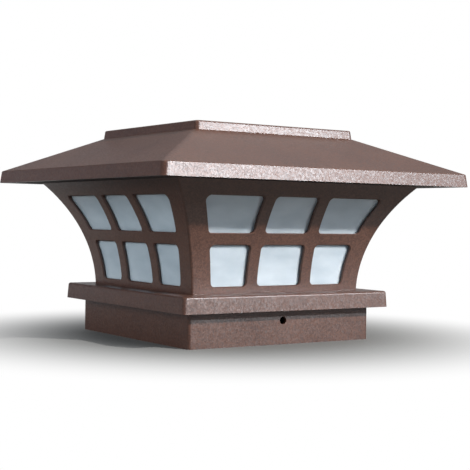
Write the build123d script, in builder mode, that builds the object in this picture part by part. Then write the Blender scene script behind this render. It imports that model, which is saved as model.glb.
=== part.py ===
from build123d import *
import os
from math import atan2, cos, sqrt, tan

# Solar post light: a hipped solar roof that lifts off a flared, glazed lantern on a square post sleeve.
# Millimetres, +Z up. The origin is the centre of the sleeve's bottom rim. The fixing holes face -Y and +Y.

# Driving dimensions of the post sleeve
POST_WIDTH = 127.0  # square post that the light slips over
POST_CLEARANCE = 1.0  # room round the post, each side
SLEEVE_WALL = 2.5
SLEEVE_CORNER = 2.0
SKIRT_HEIGHT = 21.0  # sleeve that shows below the plinth
LEDGE_THICKNESS = 2.5  # ledge inside the sleeve that stops the post
FIXING_HOLE_DIAMETER = 4.8
FIXING_HOLE_DROP = 6.6  # from the plinth's rim down to the hole's centre

# Driving dimensions of the plinth
PLINTH_OVERHANG = 9.0  # plinth beyond the sleeve, each side
PLINTH_HEIGHT = 10.0
PLINTH_INSET = 0.6  # plinth's top inside its rim, each side
PLINTH_WALL = 2.5
PLINTH_CORNER = 2.0
PLINTH_EDGE = 1.4
DECK_THICKNESS = 2.5
RIB_THICKNESS = 1.8  # rib under the deck that centres the sleeve
RIB_DEPTH = 4.5

# Driving dimensions of the lantern frame
FOOT_WIDTH = 123.6
HEAD_WIDTH = 178.0
FRAME_HEIGHT = 66.4
FLARE_RADIUS = 103.0
FRAME_WALL = 1.8
FRAME_CORNER = 1.2
FOOT_FLANGE = 2.5
HEAD_FLANGE = 3.0
BOTTOM_RAIL = 4.2
MIDDLE_RAIL = 7.3
TOP_RAIL = 8.6
LOWER_WINDOW_HEIGHT = 24.6
MIDDLE_WINDOW_WIDTH = 31.9
MULLION_WIDTH = 8.2
STILE_WIDTH = 13.2
WINDOW_CORNER = 2.6
WINDOW_EDGE = 0.5  # chamfer round each window's outer edge

# Driving dimensions of the panes and the lantern's floor
PANE_THICKNESS = 3.0  # a common thickness of acrylic sheet
PANE_GAP = 0.3  # between a pane and the frame's wall
PANE_MITRE_GAP = 0.3  # each pane's edge stands this far back from the corner's mitre
REFLECTOR_THICKNESS = 1.6

# Driving dimensions of the roof
EAVE_WIDTH = 222.0
EAVE_CORNER = 3.0
FASCIA_HEIGHT = 7.8
FASCIA_INSET = 0.9  # fascia's top inside the eave, each side
FASCIA_EDGE = 1.0
ROOF_RISE = 22.1
ROOF_WALL = 2.5
CURB_WIDTH = 118.0
CURB_HEIGHT = 5.4
CURB_INSET = 0.6  # curb's top inside its foot, each side
CURB_CORNER = 2.5
CURB_EDGE = 1.2
CURB_WALL = 3.0

# Driving dimensions of the solar panel
PANEL_SINK = 0.8  # glass below the curb's top
GLASS_THICKNESS = 3.0
BACKBOARD_THICKNESS = 1.2
SEALANT_WIDTH = 1.5
SEALANT_SINK = 0.4
CELL_COLUMNS = 2
CELL_ROWS = 6
CELL_GAP = 1.2
CELL_MARGIN = 3.5
CELL_THICKNESS = 0.3
CELL_CLEARANCE = 0.1

# Driving dimensions of the soffit and the lamp tray
SOFFIT_THICKNESS = 2.5
SOFFIT_LAND = 13.5  # soffit inside the collar, which takes the screws
COLLAR_DEPTH = 6.0
COLLAR_WALL = 2.0
TRAY_THICKNESS = 2.0
TRAY_INSET = 1.6  # tray's edge inside the line of the collar
STANDOFF_DIAMETER = 6.0
STANDOFF_HEIGHT = 4.0

# Driving dimensions of the circuit board, lamp and switch
BOARD_LENGTH = 92.0
BOARD_WIDTH = 34.0
BOARD_THICKNESS = 1.6
BOARD_OFFSET = 10.0  # board's centre line in front of the light's axis
BOARD_SCREW_MARGIN = 4.0
LED_COLUMNS = 4
LED_ROWS = 2
LED_SPACING = 9.0
LED_LENGTH = 3.5
LED_WIDTH = 2.8
LED_HEIGHT = 0.8
LENS_WINDOW_LENGTH = 42.0
LENS_WINDOW_WIDTH = 16.0
LENS_WINDOW_CORNER = 4.0
LENS_FLANGE_WIDTH = 2.5
LENS_FLANGE_THICKNESS = 1.2
SWITCH_LENGTH = 13.0
SWITCH_WIDTH = 8.0
SWITCH_CAVITY_DEPTH = 2.4
SWITCH_OFFSET = 33.0  # switch's centre to the right of the light's axis
SLIDER_TRAVEL = 4.0
SLIDER_HEAD_LENGTH = 6.0
SLIDER_HEAD_WIDTH = 4.6
SLIDER_STEM_LENGTH = 3.0
SLIDER_STEM_WIDTH = 2.6
SLIDER_REACH = 2.0  # stem below the tray
CHIP_SIZE = (8.0, 6.0, 1.7)
INDUCTOR_SIZE = (7.0, 4.5)  # diameter, height
CAPACITOR_SIZE = (6.3, 7.7)  # diameter, height
PLUG_SIZE = (7.5, 5.5, 6.0)

# Driving dimensions of the battery bay and its door
BATTERY_DIAMETER = 14.5
BATTERY_LENGTH = 50.5
BATTERY_NUB_DIAMETER = 5.5
BATTERY_NUB_LENGTH = 1.0
BATTERY_CLEARANCE = 0.8
CONTACT_ROOM = 4.0  # from the cell's end to the bay's end wall
CONTACT_WIDTH = 6.0
CONTACT_THICKNESS = 0.4
CONTACT_TAB = 2.0  # solder tab above the bay
BAY_WALL = 1.5
BAY_OFFSET = 31.0  # bay's centre line behind the light's axis
SEAL_WIDTH = 2.0
SEAL_THICKNESS = 0.8
DOOR_THICKNESS = 1.6
DOOR_MARGIN = 3.5  # door beyond the bay's mouth
DOOR_LIP_LENGTH = 16.0
DOOR_LIP_WIDTH = 3.0
HINGE_PIN_DIAMETER = 2.0
KNUCKLE_DIAMETER = 4.4
LUG_WIDTH = 6.0
LUG_SPACING = 27.0

# Driving dimensions of the fasteners and wires
BOSS_DIAMETER = 8.0
BASE_BOSS_HEIGHT = 9.5
BASE_SCREW_DIAMETER = 3.5
BASE_SCREW_HEAD = 7.0
BASE_SCREW_LENGTH = 15.0
ROOF_SCREW_DIAMETER = 3.0
ROOF_SCREW_HEAD = 6.4
ROOF_SCREW_LENGTH = 13.0
BOARD_SCREW_DIAMETER = 2.2
BOARD_SCREW_HEAD = 4.4
BOARD_SCREW_HEAD_HEIGHT = 1.6
BOARD_SCREW_LENGTH = 5.0
WIRE_DIAMETER = 1.4
WIRE_SPACING = 2.5
WIRE_BEND = 3.0
WIRE_HOLE_DIAMETER = 6.0
WIRE_STEP = 8.0  # the panel's wires enter the roof this far in front of their plug

# Clearances shared by pieces that fit together
FIT_GAP = 0.3
HOLE_CLEARANCE = 0.15
PIN_CLEARANCE = 0.08
PRESS_CLEARANCE = 0.02
INNER_CORNER = 1.0

# Heights, worked up from the sleeve's rim
PLINTH_RIM_Z = SKIRT_HEIGHT
DECK_TOP_Z = PLINTH_RIM_Z + PLINTH_HEIGHT
DECK_Z = DECK_TOP_Z - DECK_THICKNESS
POST_STOP_Z = DECK_Z - LEDGE_THICKNESS
FIXING_HOLE_Z = PLINTH_RIM_Z - FIXING_HOLE_DROP
FLOOR_Z = DECK_TOP_Z + FOOT_FLANGE
HEAD_Z = DECK_TOP_Z + FRAME_HEIGHT
HEAD_FLANGE_Z = HEAD_Z - HEAD_FLANGE
SLOPE_Z = HEAD_Z + FASCIA_HEIGHT
CURB_Z = SLOPE_Z + ROOF_RISE
ROOF_TOP_Z = CURB_Z + CURB_HEIGHT
GLASS_Z = ROOF_TOP_Z - PANEL_SINK - GLASS_THICKNESS
PANEL_SEAT_Z = GLASS_Z - BACKBOARD_THICKNESS
CEILING_Z = PANEL_SEAT_Z - ROOF_WALL
TRAY_Z = HEAD_Z + SOFFIT_THICKNESS
TRAY_TOP_Z = TRAY_Z + TRAY_THICKNESS
BOARD_Z = TRAY_TOP_Z + STANDOFF_HEIGHT
BOARD_TOP_Z = BOARD_Z + BOARD_THICKNESS
PLUG_TOP_Z = BOARD_TOP_Z + PLUG_SIZE[2]
BATTERY_Z = TRAY_Z + BATTERY_CLEARANCE + BATTERY_DIAMETER / 2
BAY_CEILING_Z = BATTERY_Z + BATTERY_DIAMETER / 2 + BATTERY_CLEARANCE
BAY_TOP_Z = BAY_CEILING_Z + BAY_WALL
DOOR_TOP_Z = TRAY_Z - SEAL_THICKNESS
HINGE_Z = TRAY_Z - FIT_GAP - KNUCKLE_DIAMETER / 2

# Centre of the arc that the flared wall follows, in the plane across one side
CHORD_X = (HEAD_WIDTH - FOOT_WIDTH) / 2
CHORD = sqrt(CHORD_X**2 + FRAME_HEIGHT**2)
CENTRE_REACH = sqrt(FLARE_RADIUS**2 - (CHORD / 2) ** 2)
FLARE_X = (HEAD_WIDTH + FOOT_WIDTH) / 4 + CENTRE_REACH * FRAME_HEIGHT / CHORD
FLARE_Z = DECK_TOP_Z + FRAME_HEIGHT / 2 - CENTRE_REACH * CHORD_X / CHORD


def flare_half(height, inset=0.0):
    """Half-width of the flared wall at a height, on the surface that lies inset behind the outer one."""
    return FLARE_X - sqrt((FLARE_RADIUS + inset) ** 2 - (height - FLARE_Z) ** 2)


# Widths and places that follow from the sizes above
SLEEVE_INNER = POST_WIDTH + 2 * POST_CLEARANCE
SLEEVE_OUTER = SLEEVE_INNER + 2 * SLEEVE_WALL
PLINTH_WIDTH = SLEEVE_OUTER + 2 * PLINTH_OVERHANG
PLINTH_TOP_WIDTH = PLINTH_WIDTH - 2 * PLINTH_INSET
PLINTH_INNER = PLINTH_TOP_WIDTH - 2 * PLINTH_WALL
RIB_INNER = SLEEVE_OUTER + 2 * FIT_GAP
PANE_OUTER_INSET = FRAME_WALL + PANE_GAP
PANE_INNER_INSET = PANE_OUTER_INSET + PANE_THICKNESS
REFLECTOR_WIDTH = 2 * (flare_half(FLOOR_Z, PANE_INNER_INSET) - FIT_GAP)
BASE_SCREW_OFFSET = REFLECTOR_WIDTH / 2 - BOSS_DIAMETER / 2 - 2 * FIT_GAP
SERVICE_OPENING = 2 * BASE_SCREW_OFFSET - BOSS_DIAMETER
COLLAR_WIDTH = 2 * (flare_half(HEAD_Z - COLLAR_DEPTH, PANE_INNER_INSET) - FIT_GAP)
COLLAR_INNER = COLLAR_WIDTH - 2 * COLLAR_WALL
HEAD_OPENING = COLLAR_WIDTH + 2 * FIT_GAP
SOFFIT_OPENING = COLLAR_INNER - 2 * SOFFIT_LAND
ROOF_SCREW_OFFSET = (COLLAR_INNER - SOFFIT_LAND) / 2
TRAY_WIDTH = COLLAR_INNER - 2 * TRAY_INSET
FASCIA_TOP_WIDTH = EAVE_WIDTH - 2 * FASCIA_INSET
CAVITY_WIDTH = FASCIA_TOP_WIDTH - 2 * ROOF_WALL
SOFFIT_WIDTH = CAVITY_WIDTH - 2 * FIT_GAP
SLOPE_ANGLE = atan2(ROOF_RISE, (FASCIA_TOP_WIDTH - CURB_WIDTH) / 2)
SLOPE_DROP = ROOF_WALL / cos(SLOPE_ANGLE)
CAVITY_EAVE_Z = SLOPE_Z + ROOF_WALL * tan(SLOPE_ANGLE) - SLOPE_DROP
CAVITY_TOP_WIDTH = FASCIA_TOP_WIDTH - 2 * (CEILING_Z + SLOPE_DROP - SLOPE_Z) / tan(SLOPE_ANGLE)
CURB_TOP_WIDTH = CURB_WIDTH - 2 * CURB_INSET
RECESS_WIDTH = CURB_TOP_WIDTH - 2 * CURB_WALL
PANEL_WIDTH = RECESS_WIDTH - 2 * SEALANT_WIDTH
CELL_FIELD = PANEL_WIDTH - 2 * CELL_MARGIN
CELL_LENGTH = (CELL_FIELD + CELL_GAP) / CELL_COLUMNS - CELL_GAP
CELL_WIDTH = (CELL_FIELD + CELL_GAP) / CELL_ROWS - CELL_GAP
BAY_LENGTH = BATTERY_LENGTH + 2 * CONTACT_ROOM
BAY_WIDTH = BATTERY_DIAMETER + 2 * BATTERY_CLEARANCE
DOOR_LENGTH = BAY_LENGTH + 2 * DOOR_MARGIN
DOOR_WIDTH = BAY_WIDTH + 2 * DOOR_MARGIN
HINGE_Y = BAY_OFFSET + DOOR_WIDTH / 2 + KNUCKLE_DIAMETER / 2 + FIT_GAP
CONTACT_X = (BAY_LENGTH - CONTACT_THICKNESS) / 2
BOARD_SCREW_X = BOARD_LENGTH / 2 - BOARD_SCREW_MARGIN
BOARD_SCREW_Y = BOARD_WIDTH / 2 - BOARD_SCREW_MARGIN
PANEL_PLUG_Y = -BOARD_OFFSET - BOARD_WIDTH / 2 + PLUG_SIZE[1] / 2 + INNER_CORNER
BATTERY_PLUG_X = WIRE_SPACING / 2 - CONTACT_X
BATTERY_PLUG_Y = -BOARD_OFFSET + BOARD_WIDTH / 2 - PLUG_SIZE[1] / 2 - INNER_CORNER
SLIDER_REST_X = SWITCH_OFFSET - SLIDER_TRAVEL / 2
WINDOW_ROWS = (
    (DECK_TOP_Z + BOTTOM_RAIL, DECK_TOP_Z + BOTTOM_RAIL + LOWER_WINDOW_HEIGHT),
    (DECK_TOP_Z + BOTTOM_RAIL + LOWER_WINDOW_HEIGHT + MIDDLE_RAIL, HEAD_Z - TOP_RAIL),
)

os.makedirs("parts", exist_ok=True)


def tapered_square(low_z, low_width, low_corner, high_z, high_width, high_corner, mode=Mode.ADD):
    """Square body with rounded corners that tapers from one level to the next."""
    with BuildSketch(Plane.XY.offset(low_z)) as low:
        RectangleRounded(low_width, low_width, low_corner)
    with BuildSketch(Plane.XY.offset(high_z)) as high:
        RectangleRounded(high_width, high_width, high_corner)
    loft([low.sketch, high.sketch], ruled=True, mode=mode)


def square_ring(outer_width, inner_width, low_z, height):
    """Flat square ring that rises from low_z."""
    with BuildSketch(Plane.XY.offset(low_z)) as ring:
        Rectangle(outer_width, outer_width)
        Rectangle(inner_width, inner_width, mode=Mode.SUBTRACT)
    extrude(ring.sketch, amount=height)


def flared_side(low_z, high_z, outer_inset, inner_inset, mitre_gap):
    """The lantern's curved +Y side between two insets from its outer surface, mitred at the corners."""
    middle_z = (low_z + high_z) / 2
    outer = [(flare_half(z, outer_inset), z) for z in (low_z, middle_z, high_z)]
    inner = [(flare_half(z, inner_inset), z) for z in (high_z, middle_z, low_z)]
    with BuildSketch(Plane.YZ) as section:
        with BuildLine():
            ThreePointArc(*outer)
            Line(outer[-1], inner[0])
            ThreePointArc(*inner)
            Line(inner[-1], outer[0])
        make_face()
    extrude(section.sketch, amount=HEAD_WIDTH / 2, both=True)
    with BuildSketch() as quarter:
        with Locations((0, mitre_gap)):
            Polygon((0, 0), (HEAD_WIDTH, HEAD_WIDTH), (-HEAD_WIDTH, HEAD_WIDTH), align=None)
    extrude(quarter.sketch, amount=high_z, mode=Mode.INTERSECT)


def countersunk_screw(head_z, head_diameter, diameter, length):
    """Screw that points up, with the flat of its countersunk head at head_z."""
    radius = diameter / 2
    neck_z = head_z + head_diameter / 2 - radius
    with BuildSketch(Plane.XZ) as profile:
        with BuildLine():
            Polyline(
                (0, head_z),
                (head_diameter / 2, head_z),
                (radius, neck_z),
                (radius, head_z + length - radius),
                (0, head_z + length),
                close=True,
            )
        make_face()
    revolve(profile.sketch, axis=Axis.Z)


def wire(*route):
    """Round wire along straight runs joined by arcs, square to what it meets at both ends."""
    with BuildLine() as path:
        if len(route) > 2:
            FilletPolyline(*route, radius=WIRE_BEND)
        else:
            Line(*route)
    with BuildSketch(Plane(origin=path.line @ 0, z_dir=path.line % 0)) as section:
        Circle(WIRE_DIAMETER / 2)
    sweep(section.sketch, path=path.line)


# Post sleeve: square tube with an inward ledge at its top
with BuildPart() as post_sleeve:
    with BuildSketch():
        RectangleRounded(SLEEVE_OUTER, SLEEVE_OUTER, SLEEVE_CORNER)
    extrude(amount=DECK_Z)
    with BuildSketch():
        RectangleRounded(SLEEVE_INNER, SLEEVE_INNER, INNER_CORNER)
    extrude(amount=POST_STOP_Z, mode=Mode.SUBTRACT)
    with BuildSketch(Plane.XY.offset(POST_STOP_Z)):
        RectangleRounded(SERVICE_OPENING, SERVICE_OPENING, INNER_CORNER)
    extrude(amount=LEDGE_THICKNESS, mode=Mode.SUBTRACT)
    with BuildSketch(Plane.XZ):
        with Locations((0, FIXING_HOLE_Z)):
            Circle(FIXING_HOLE_DIAMETER / 2)
    extrude(amount=SLEEVE_OUTER, both=True, mode=Mode.SUBTRACT)
    with Locations(Plane(origin=(0, 0, POST_STOP_Z), z_dir=(0, 0, -1))):
        with GridLocations(2 * BASE_SCREW_OFFSET, 2 * BASE_SCREW_OFFSET, 2, 2):
            CounterSinkHole(
                BASE_SCREW_DIAMETER / 2 + HOLE_CLEARANCE,
                BASE_SCREW_HEAD / 2 + HOLE_CLEARANCE,
                LEDGE_THICKNESS,
                90,
            )
post_sleeve.part.label = "post_sleeve"
export_step(post_sleeve.part, "parts/post_sleeve.step")

# Plinth: shallow upturned tray whose deck carries the lantern
with BuildPart() as plinth:
    tapered_square(PLINTH_RIM_Z, PLINTH_WIDTH, PLINTH_CORNER, DECK_TOP_Z, PLINTH_TOP_WIDTH, PLINTH_CORNER)
    fillet(plinth.faces().sort_by(Axis.Z)[-1].edges(), PLINTH_EDGE)
    with BuildSketch(Plane.XY.offset(PLINTH_RIM_Z)):
        RectangleRounded(PLINTH_INNER, PLINTH_INNER, INNER_CORNER)
    extrude(amount=PLINTH_HEIGHT - DECK_THICKNESS, mode=Mode.SUBTRACT)
    square_ring(RIB_INNER + 2 * RIB_THICKNESS, RIB_INNER, DECK_Z - RIB_DEPTH, RIB_DEPTH)
    with BuildSketch(Plane.XY.offset(DECK_Z)):
        RectangleRounded(SERVICE_OPENING, SERVICE_OPENING, INNER_CORNER)
        with GridLocations(2 * BASE_SCREW_OFFSET, 2 * BASE_SCREW_OFFSET, 2, 2):
            Circle(BASE_SCREW_DIAMETER / 2 + HOLE_CLEARANCE)
    extrude(amount=DECK_THICKNESS, mode=Mode.SUBTRACT)
plinth.part.label = "plinth"
export_step(plinth.part, "parts/plinth.step")

# One side of the lantern frame: flared wall with two rows of three windows
with BuildPart() as frame_side:
    flared_side(DECK_TOP_Z, HEAD_Z, 0.0, FRAME_WALL, 0.0)
    with BuildSketch(Plane.XZ):
        for sill_z, lintel_z in WINDOW_ROWS:
            with Locations((0, (sill_z + lintel_z) / 2)):
                RectangleRounded(MIDDLE_WINDOW_WIDTH, lintel_z - sill_z, WINDOW_CORNER)
    extrude(amount=HEAD_WIDTH, both=True, mode=Mode.SUBTRACT)
    with BuildSketch(Plane.XZ) as side_windows:
        for sill_z, lintel_z in WINDOW_ROWS:
            inner_x = MIDDLE_WINDOW_WIDTH / 2 + MULLION_WIDTH
            edge = [(flare_half(z, STILE_WIDTH), z) for z in (lintel_z, (sill_z + lintel_z) / 2, sill_z)]
            with BuildLine():
                Polyline(edge[-1], (inner_x, sill_z), (inner_x, lintel_z), edge[0])
                ThreePointArc(*edge)
            make_face()
        fillet(side_windows.vertices(), WINDOW_CORNER)
        mirror(about=Plane.YZ)
    extrude(amount=HEAD_WIDTH, both=True, mode=Mode.SUBTRACT)
    outer_wall = frame_side.faces().filter_by(GeomType.CYLINDER).sort_by(SortBy.AREA)[-1]
    for window in outer_wall.inner_wires():
        chamfer(window.edges(), WINDOW_EDGE)

# Lantern frame: four sides, a foot flange with screw bosses and a flange round the head
with BuildPart() as lantern_frame:
    with PolarLocations(0, 4):
        add(frame_side.part)
    corners = lantern_frame.edges().filter_by(GeomType.LINE, reverse=True).sort_by(SortBy.LENGTH)[-4:]
    fillet(corners, FRAME_CORNER)
    square_ring(2 * flare_half(DECK_TOP_Z, FRAME_WALL / 2), SERVICE_OPENING, DECK_TOP_Z, FOOT_FLANGE)
    square_ring(2 * flare_half(HEAD_FLANGE_Z, FRAME_WALL / 2), HEAD_OPENING, HEAD_FLANGE_Z, HEAD_FLANGE)
    with BuildSketch(Plane.XY.offset(FLOOR_Z)):
        with GridLocations(2 * BASE_SCREW_OFFSET, 2 * BASE_SCREW_OFFSET, 2, 2):
            Circle(BOSS_DIAMETER / 2)
    extrude(amount=BASE_BOSS_HEIGHT)
    with BuildSketch(Plane.XY.offset(DECK_TOP_Z)):
        with GridLocations(2 * BASE_SCREW_OFFSET, 2 * BASE_SCREW_OFFSET, 2, 2):
            Circle(BASE_SCREW_DIAMETER / 2 + PIN_CLEARANCE)
    extrude(amount=BASE_SCREW_LENGTH + POST_STOP_Z + FIT_GAP - DECK_TOP_Z, mode=Mode.SUBTRACT)
lantern_frame.part.label = "lantern_frame"
export_step(lantern_frame.part, "parts/lantern_frame.step")

# Panes: one curved frosted pane behind each side's windows, standing on the foot flange
with BuildPart() as pane:
    flared_side(FLOOR_Z, HEAD_FLANGE_Z - FIT_GAP, PANE_OUTER_INSET, PANE_INNER_INSET, PANE_MITRE_GAP)
for pane_name, turn in (("pane_back", 0), ("pane_left", 90), ("pane_front", 180), ("pane_right", 270)):
    with BuildPart() as side_pane:
        add(pane.part, rotation=(0, 0, turn))
    side_pane.part.label = pane_name
    export_step(side_pane.part, f"parts/{pane_name}.step")

# Floor reflector: white plate over the bosses, whose edge traps the panes' feet
with BuildPart() as floor_reflector:
    with BuildSketch(Plane.XY.offset(FLOOR_Z)):
        Rectangle(REFLECTOR_WIDTH, REFLECTOR_WIDTH)
        with GridLocations(2 * BASE_SCREW_OFFSET, 2 * BASE_SCREW_OFFSET, 2, 2):
            Circle(BOSS_DIAMETER / 2 + FIT_GAP, mode=Mode.SUBTRACT)
    extrude(amount=REFLECTOR_THICKNESS)
floor_reflector.part.label = "floor_reflector"
export_step(floor_reflector.part, "parts/floor_reflector.step")

# Base screws: up through sleeve and plinth into the frame's bosses
with BuildPart() as base_screw:
    countersunk_screw(POST_STOP_Z, BASE_SCREW_HEAD, BASE_SCREW_DIAMETER, BASE_SCREW_LENGTH)
with BuildPart() as base_screws:
    with GridLocations(2 * BASE_SCREW_OFFSET, 2 * BASE_SCREW_OFFSET, 2, 2):
        add(base_screw.part)
base_screws.part.label = "base_screws"
export_step(base_screws.part, "parts/base_screws.step")

# Hollow of the roof, with the four screw bosses left standing in it
with BuildPart() as roof_hollow:
    tapered_square(HEAD_Z, CAVITY_WIDTH, INNER_CORNER, CAVITY_EAVE_Z, CAVITY_WIDTH, INNER_CORNER)
    tapered_square(CAVITY_EAVE_Z, CAVITY_WIDTH, INNER_CORNER, CEILING_Z, CAVITY_TOP_WIDTH, INNER_CORNER)
    with BuildSketch(Plane.XY.offset(TRAY_TOP_Z)):
        with GridLocations(2 * ROOF_SCREW_OFFSET, 2 * ROOF_SCREW_OFFSET, 2, 2):
            Circle(BOSS_DIAMETER / 2)
    extrude(amount=ROOF_TOP_Z - TRAY_TOP_Z, mode=Mode.SUBTRACT)

# Roof shell: fascia, hipped slopes and the curb that frames the solar panel
with BuildPart() as roof_shell:
    tapered_square(HEAD_Z, EAVE_WIDTH, EAVE_CORNER, SLOPE_Z, FASCIA_TOP_WIDTH, EAVE_CORNER)
    tapered_square(SLOPE_Z, FASCIA_TOP_WIDTH, EAVE_CORNER, CURB_Z, CURB_WIDTH, CURB_CORNER)
    tapered_square(CURB_Z, CURB_WIDTH, CURB_CORNER, ROOF_TOP_Z, CURB_TOP_WIDTH, CURB_CORNER)
    fillet(roof_shell.faces().sort_by(Axis.Z)[-1].edges(), CURB_EDGE)
    fillet(roof_shell.edges().filter_by_position(Axis.Z, SLOPE_Z, SLOPE_Z), FASCIA_EDGE)
    add(roof_hollow.part, mode=Mode.SUBTRACT)
    with BuildSketch(Plane.XY.offset(PANEL_SEAT_Z)):
        Rectangle(RECESS_WIDTH, RECESS_WIDTH)
    extrude(amount=ROOF_TOP_Z - PANEL_SEAT_Z, mode=Mode.SUBTRACT)
    with BuildSketch(Plane.XY.offset(CEILING_Z)):
        with Locations((0, PANEL_PLUG_Y - WIRE_STEP)):
            Circle(WIRE_HOLE_DIAMETER / 2)
    extrude(amount=ROOF_WALL, mode=Mode.SUBTRACT)
    with BuildSketch(Plane.XY.offset(TRAY_TOP_Z)):
        with GridLocations(2 * ROOF_SCREW_OFFSET, 2 * ROOF_SCREW_OFFSET, 2, 2):
            Circle(ROOF_SCREW_DIAMETER / 2 + PIN_CLEARANCE)
    extrude(amount=HEAD_Z + ROOF_SCREW_LENGTH + FIT_GAP - TRAY_TOP_Z, mode=Mode.SUBTRACT)
roof_shell.part.label = "roof_shell"
export_step(roof_shell.part, "parts/roof_shell.step")

# Solar panel: backboard, cells, glass and the bead of sealant round them
with BuildPart() as solar_backboard:
    with BuildSketch(Plane.XY.offset(PANEL_SEAT_Z)):
        Rectangle(PANEL_WIDTH, PANEL_WIDTH)
    extrude(amount=BACKBOARD_THICKNESS)
solar_backboard.part.label = "solar_backboard"
export_step(solar_backboard.part, "parts/solar_backboard.step")

with BuildPart() as solar_cells:
    with BuildSketch(Plane.XY.offset(GLASS_Z)):
        with GridLocations(CELL_LENGTH + CELL_GAP, CELL_WIDTH + CELL_GAP, CELL_COLUMNS, CELL_ROWS):
            Rectangle(CELL_LENGTH, CELL_WIDTH)
    extrude(amount=CELL_THICKNESS)
solar_cells.part.label = "solar_cells"
export_step(solar_cells.part, "parts/solar_cells.step")

with BuildPart() as solar_glass:
    with BuildSketch(Plane.XY.offset(GLASS_Z)):
        Rectangle(PANEL_WIDTH, PANEL_WIDTH)
    extrude(amount=GLASS_THICKNESS)
    with BuildSketch(Plane.XY.offset(GLASS_Z)):
        Rectangle(CELL_FIELD + 2 * CELL_CLEARANCE, CELL_FIELD + 2 * CELL_CLEARANCE)
    extrude(amount=CELL_THICKNESS + CELL_CLEARANCE, mode=Mode.SUBTRACT)
solar_glass.part.label = "solar_glass"
export_step(solar_glass.part, "parts/solar_glass.step")

with BuildPart() as panel_sealant:
    square_ring(RECESS_WIDTH, PANEL_WIDTH, PANEL_SEAT_Z, BACKBOARD_THICKNESS + GLASS_THICKNESS - SEALANT_SINK)
panel_sealant.part.label = "panel_sealant"
export_step(panel_sealant.part, "parts/panel_sealant.step")

# Soffit plate: closes the eave from below, with a collar that drops into the frame's head
with BuildPart() as soffit_plate:
    square_ring(SOFFIT_WIDTH, SOFFIT_OPENING, HEAD_Z, SOFFIT_THICKNESS)
    square_ring(COLLAR_WIDTH, COLLAR_INNER, HEAD_Z - COLLAR_DEPTH, COLLAR_DEPTH)
    with Locations(Plane(origin=(0, 0, HEAD_Z), z_dir=(0, 0, -1))):
        with GridLocations(2 * ROOF_SCREW_OFFSET, 2 * ROOF_SCREW_OFFSET, 2, 2):
            CounterSinkHole(
                ROOF_SCREW_DIAMETER / 2 + HOLE_CLEARANCE,
                ROOF_SCREW_HEAD / 2 + HOLE_CLEARANCE,
                SOFFIT_THICKNESS,
                90,
            )
soffit_plate.part.label = "soffit_plate"
export_step(soffit_plate.part, "parts/soffit_plate.step")

# Lamp tray: white plate with the battery bay, board standoffs, lamp window, switch slot and hinge lugs
with BuildPart() as lamp_tray:
    with BuildSketch(Plane.XY.offset(TRAY_Z)):
        RectangleRounded(TRAY_WIDTH, TRAY_WIDTH, INNER_CORNER)
    extrude(amount=TRAY_THICKNESS)
    with BuildSketch(Plane.XY.offset(TRAY_TOP_Z)):
        with Locations((0, BAY_OFFSET)):
            Rectangle(BAY_LENGTH + 2 * BAY_WALL, BAY_WIDTH + 2 * BAY_WALL)
    extrude(amount=BAY_TOP_Z - TRAY_TOP_Z)
    with BuildSketch(Plane.XY.offset(TRAY_Z)):
        with Locations((0, BAY_OFFSET)):
            Rectangle(BAY_LENGTH, BAY_WIDTH)
    extrude(amount=BAY_CEILING_Z - TRAY_Z, mode=Mode.SUBTRACT)
    with BuildSketch(Plane.XY.offset(BAY_CEILING_Z)):
        with Locations((-CONTACT_X, BAY_OFFSET), (CONTACT_X, BAY_OFFSET)):
            Rectangle(CONTACT_THICKNESS + 2 * HOLE_CLEARANCE, CONTACT_WIDTH + 2 * HOLE_CLEARANCE)
    extrude(amount=BAY_WALL, mode=Mode.SUBTRACT)
    with BuildSketch(Plane.XY.offset(TRAY_TOP_Z)):
        with Locations((0, -BOARD_OFFSET)):
            with GridLocations(2 * BOARD_SCREW_X, 2 * BOARD_SCREW_Y, 2, 2):
                Circle(STANDOFF_DIAMETER / 2)
                Circle(BOARD_SCREW_DIAMETER / 2 + PIN_CLEARANCE, mode=Mode.SUBTRACT)
    extrude(amount=STANDOFF_HEIGHT)
    with BuildSketch(Plane.XY.offset(TRAY_Z)):
        with Locations((0, -BOARD_OFFSET)):
            RectangleRounded(LENS_WINDOW_LENGTH, LENS_WINDOW_WIDTH, LENS_WINDOW_CORNER)
        with Locations((SWITCH_OFFSET, -BOARD_OFFSET)):
            Rectangle(SLIDER_STEM_LENGTH + SLIDER_TRAVEL + 2 * FIT_GAP, SLIDER_STEM_WIDTH + 2 * FIT_GAP)
        with GridLocations(2 * ROOF_SCREW_OFFSET, 2 * ROOF_SCREW_OFFSET, 2, 2):
            Circle(ROOF_SCREW_DIAMETER / 2 + HOLE_CLEARANCE)
    extrude(amount=TRAY_THICKNESS, mode=Mode.SUBTRACT)
    for lug_x in (-LUG_SPACING, 0, LUG_SPACING):
        with BuildSketch(Plane.YZ.offset(lug_x)):
            with Locations((HINGE_Y, HINGE_Z)):
                Circle(KNUCKLE_DIAMETER / 2)
            with Locations((HINGE_Y, HINGE_Z)):
                Rectangle(KNUCKLE_DIAMETER, TRAY_Z - HINGE_Z, align=(Align.CENTER, Align.MIN))
            with Locations((HINGE_Y, HINGE_Z)):
                Circle(HINGE_PIN_DIAMETER / 2 + PRESS_CLEARANCE, mode=Mode.SUBTRACT)
        extrude(amount=LUG_WIDTH / 2, both=True)
lamp_tray.part.label = "lamp_tray"
export_step(lamp_tray.part, "parts/lamp_tray.step")

# Roof screws: up through soffit and tray into the roof's bosses
with BuildPart() as roof_screw:
    countersunk_screw(HEAD_Z, ROOF_SCREW_HEAD, ROOF_SCREW_DIAMETER, ROOF_SCREW_LENGTH)
with BuildPart() as roof_screws:
    with GridLocations(2 * ROOF_SCREW_OFFSET, 2 * ROOF_SCREW_OFFSET, 2, 2):
        add(roof_screw.part)
roof_screws.part.label = "roof_screws"
export_step(roof_screws.part, "parts/roof_screws.step")

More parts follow.
